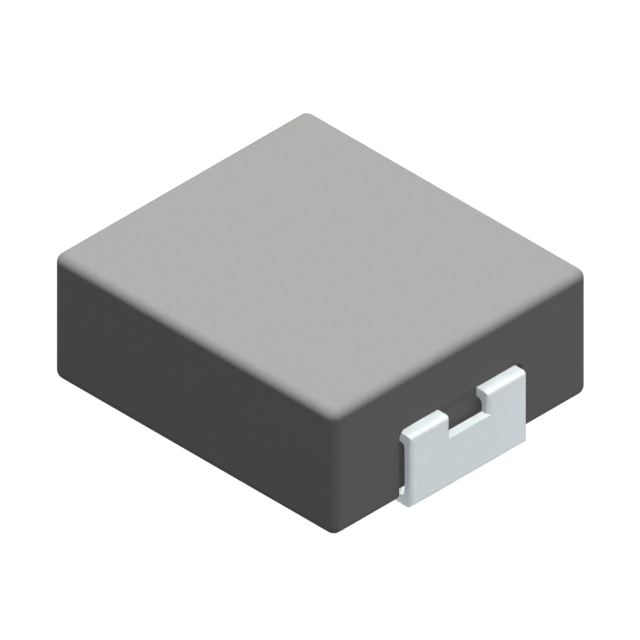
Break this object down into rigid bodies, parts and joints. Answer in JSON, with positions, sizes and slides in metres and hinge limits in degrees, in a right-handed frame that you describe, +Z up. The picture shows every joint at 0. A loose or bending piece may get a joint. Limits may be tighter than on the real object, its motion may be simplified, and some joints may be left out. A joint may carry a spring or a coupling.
{
  "type": "shielded surface-mount power inductor",
  "caption": "Low rectangular moulded power inductor with rounded edges, a flat-wire winding sealed inside and a notched, folded tinned terminal at each end.",
  "frame": {"origin": "centre of the footprint, on the plane of the undersides of the two feet", "axes": "+X from the left terminal to the right one, +Y across the body, +Z up from the feet to the top face"},
  "size_m": [0.0078, 0.0066, 0.0029],
  "materials": {
    "moulding_compound": "matte dark grey, pressed iron-alloy powder bound with resin, very fine grain",
    "enamelled_copper": "satin copper under clear enamel",
    "tinned_terminal": "matte tin plating, bright and slightly bluish"
  },
  "bodies": {
    "root": {"moulded_body": "moulding_compound", "winding": "enamelled_copper", "left_terminal": "tinned_terminal", "right_terminal": "tinned_terminal"}
  },
  "joints": []
}
